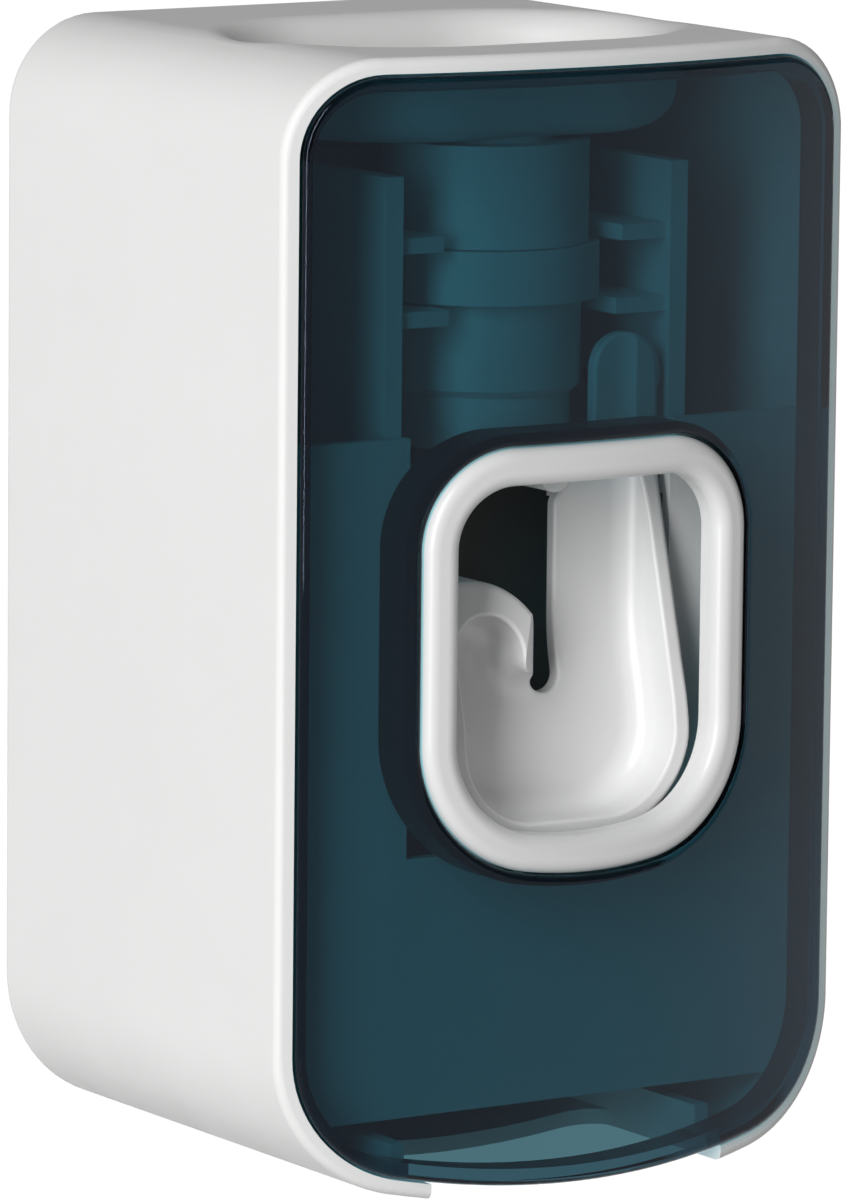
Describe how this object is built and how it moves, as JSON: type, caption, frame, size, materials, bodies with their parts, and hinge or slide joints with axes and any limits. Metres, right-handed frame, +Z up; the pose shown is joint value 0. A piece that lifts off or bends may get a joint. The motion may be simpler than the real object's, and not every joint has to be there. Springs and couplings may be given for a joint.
{
  "type": "toothpaste dispenser",
  "caption": "Wall-hung toothpaste dispenser: upright rounded housing with a well for the inverted tube, tinted pull-off cover, bezelled brush opening and a sprung paddle that works the pump.",
  "frame": {"origin": "centre of the adhesive pad's wall-side face, level with the middle of the housing's height", "axes": "+Z up, +Y into the wall, the cover faces -Y, +X to the viewer's right"},
  "size_m": [0.084, 0.0754, 0.145],
  "materials": {
    "housing_white": "satin moulded ABS",
    "tinted": "clear smoked teal-grey acrylic",
    "trim_white": "smooth semi-gloss ABS",
    "inner_white": "plain moulded polypropylene",
    "panel_grey": "dark grey moulded ABS",
    "sleeve_black": "black moulded ABS",
    "silicone": "translucent white silicone",
    "steel": "plain zinc-plated or stainless",
    "foam": "adhesive foam"
  },
  "bodies": {
    "wall_mount": {"wall_plate": "housing_white", "adhesive_pad": "foam"},
    "casing": {"housing": "housing_white", "rear_cover": "housing_white", "pump_chassis": "inner_white", "chassis_screws": "steel", "splash_guard": "inner_white", "rear_panel": "panel_grey", "panel_screws": "steel", "pump_head": "inner_white", "pump_collar": "inner_white", "pump_barrel": "inner_white", "inlet_valve": "silicone", "tube_socket": "silicone", "plunger_spring": "steel", "pivot_pin": "steel", "pin_retainer": "steel"},
    "cover": {"front_cover": "tinted", "ring_sleeve": "sleeve_black", "aperture_ring": "trim_white"},
    "trigger": {"trigger_paddle": "trim_white", "pivot_bush": "inner_white", "lift_finger": "inner_white", "finger_screws": "steel"},
    "piston": {"plunger": "inner_white", "piston_seal": "silicone", "spout": "inner_white", "outlet_valve": "silicone"}
  },
  "joints": [
    {"name": "housing_lift", "type": "slide", "parent": "wall_mount", "child": "casing", "axis": [0, 0, 1], "range_m": [0, 0.006]},
    {"name": "cover_pull", "type": "slide", "parent": "casing", "child": "cover", "axis": [0, -1, 0], "range_m": [0, 0.04]},
    {"name": "trigger_swing", "type": "hinge", "parent": "casing", "child": "trigger", "pos_m": [0, -0.055, 0.0295], "axis": [1, 0, 0], "range_deg": [0, 18], "stiffness_Nm_per_rad": 0.06, "springref_deg": -17.19},
    {"name": "plunger_slide", "type": "slide", "parent": "casing", "child": "piston", "axis": [0, 0, 1], "range_m": [0, 0.003], "deforming": ["plunger_spring"]}
  ],
  "couplings": [
    {"joint": "plunger_slide", "follows": "trigger_swing", "m_per_rad": 0.009549}
  ]
}
